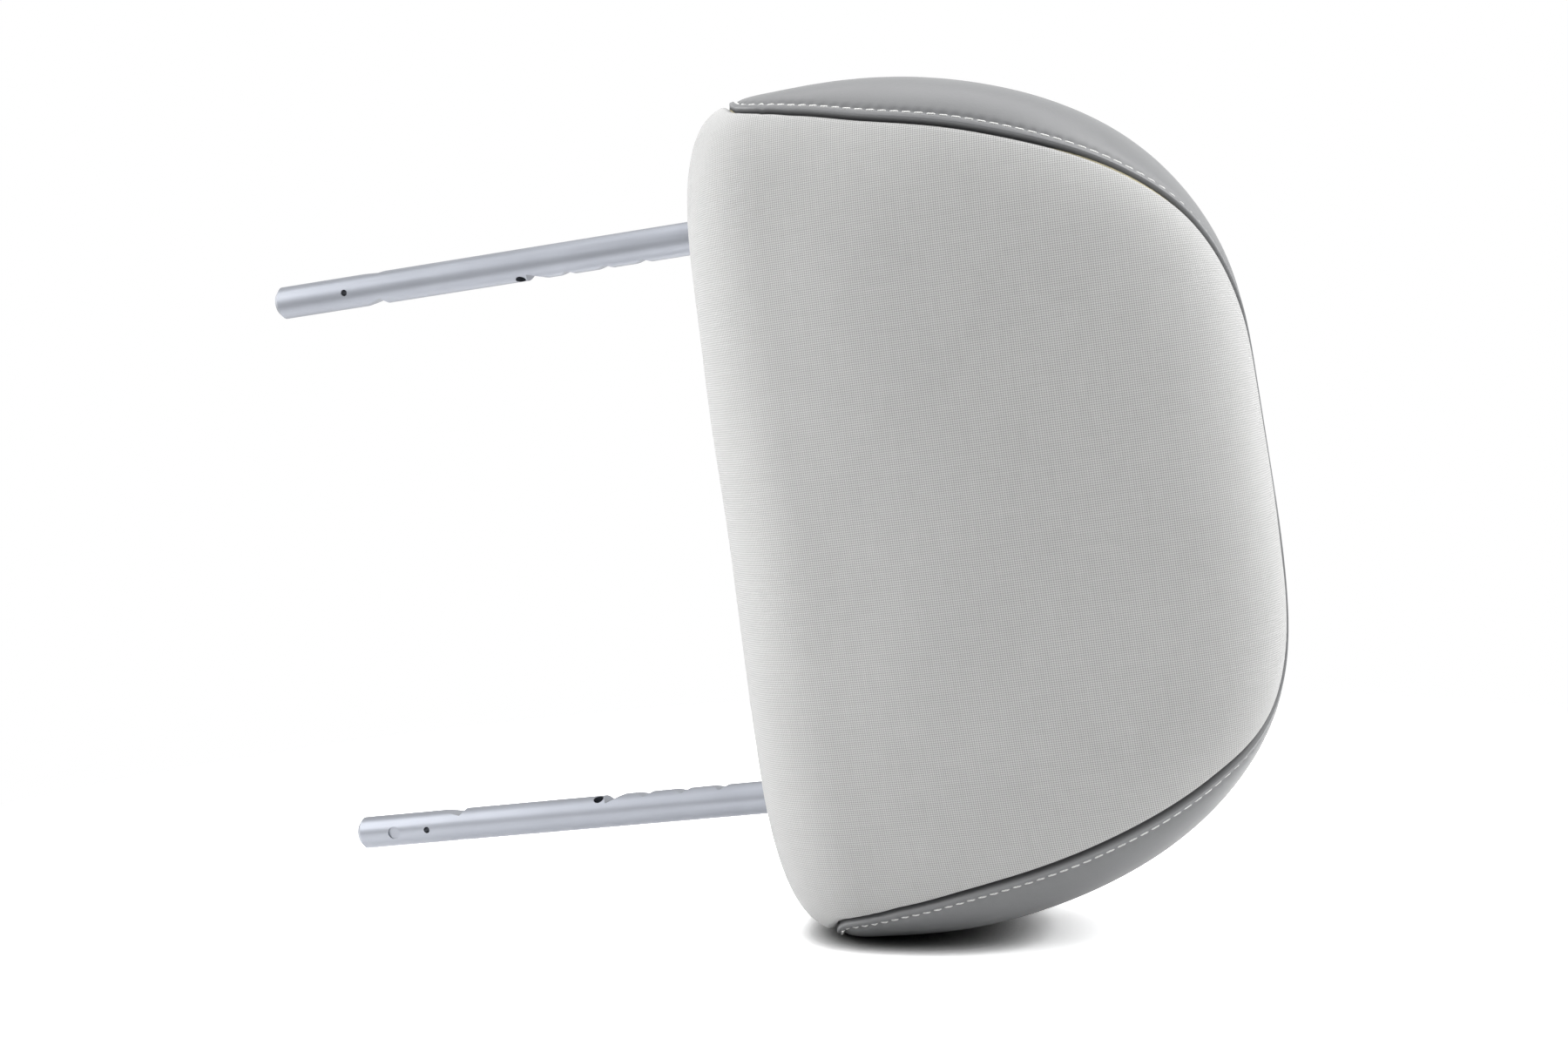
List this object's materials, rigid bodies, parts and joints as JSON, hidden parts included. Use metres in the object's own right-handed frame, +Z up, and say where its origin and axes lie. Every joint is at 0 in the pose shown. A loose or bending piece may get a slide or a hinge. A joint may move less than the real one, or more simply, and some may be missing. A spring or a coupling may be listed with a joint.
{
  "type": "car headrest",
  "caption": "Padded car headrest with a woven front panel, smooth side and rear panels, and two notched steel posts.",
  "frame": {"origin": "midway between the axes of the two posts, level with the underside of the pad", "axes": "+Z up along the posts, from their free ends to the pad; -Y towards the head, out of the front panel; +X from post to post"},
  "size_m": [0.243, 0.105, 0.303],
  "materials": {
    "satin_steel": "satin",
    "black_plastic": "matte",
    "zinc_steel": "plated",
    "pale_foam": "open cell foam",
    "grey_weave": "woven",
    "slate_vinyl": "smooth vinyl",
    "grey_plastic": "matte"
  },
  "bodies": {
    "root": {"rod_frame": "satin_steel", "carrier_front": "black_plastic", "carrier_rear": "black_plastic", "carrier_screw_1": "zinc_steel", "carrier_screw_2": "zinc_steel", "carrier_screw_3": "zinc_steel", "carrier_screw_4": "zinc_steel", "carrier_screw_5": "zinc_steel", "carrier_screw_6": "zinc_steel", "foam_core": "pale_foam", "front_panel": "grey_weave", "side_panel": "slate_vinyl", "rear_panel": "slate_vinyl", "closure_strip_front": "grey_plastic", "closure_strip_rear": "grey_plastic"}
  },
  "joints": []
}
